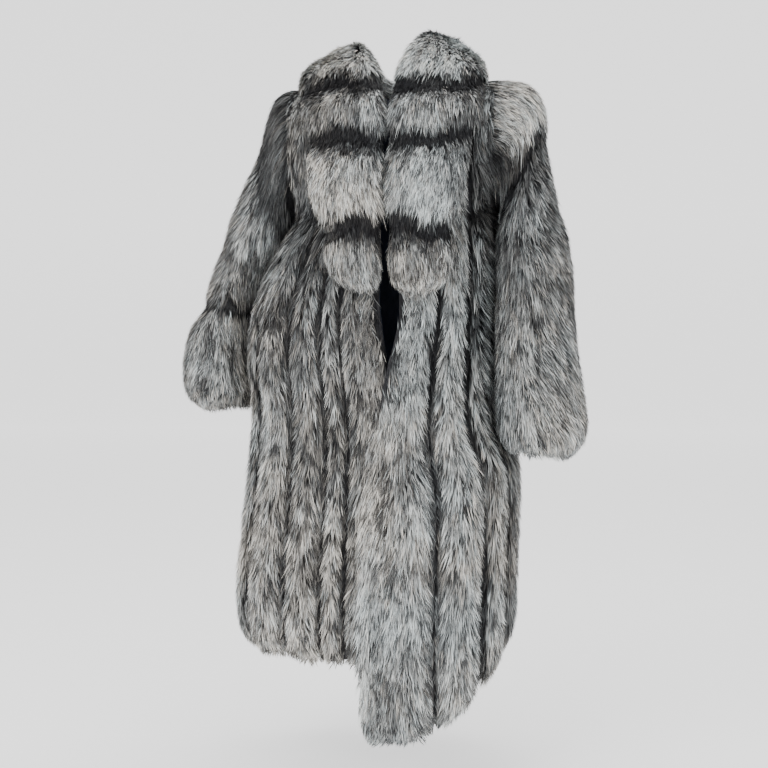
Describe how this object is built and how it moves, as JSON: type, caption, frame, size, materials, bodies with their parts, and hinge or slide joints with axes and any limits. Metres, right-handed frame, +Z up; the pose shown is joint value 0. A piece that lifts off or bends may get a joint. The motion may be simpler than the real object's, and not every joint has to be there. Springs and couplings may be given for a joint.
{
  "type": "full-length fur coat",
  "caption": "full-length fur coat with a wide roll collar, long sleeves and lapped fronts, hanging filled out with neck, hem and cuffs open",
  "frame": {"origin": "between the shoulders, level with the sleeve heads, where the wearer's shoulders hold the coat up", "axes": "+Z up; the front of the coat faces -Y; the coat's left side is at +X"},
  "size_m": [0.813, 0.4445, 1.3327],
  "materials": {
    "front_fur": "long soft fur",
    "back_fur": "long soft fur",
    "sleeve_fur": "long soft fur",
    "collar_fur": "long soft fur",
    "satin": "smooth satin lining"
  },
  "bodies": {
    "root": {"front_right": "front_fur", "front_left": "front_fur", "back": "back_fur", "sleeve_right": "sleeve_fur", "sleeve_left": "sleeve_fur", "collar_right": "collar_fur", "collar_left": "collar_fur", "collar_back": "collar_fur", "lining_front_right": "satin", "lining_front_left": "satin", "lining_back": "satin"}
  },
  "joints": []
}
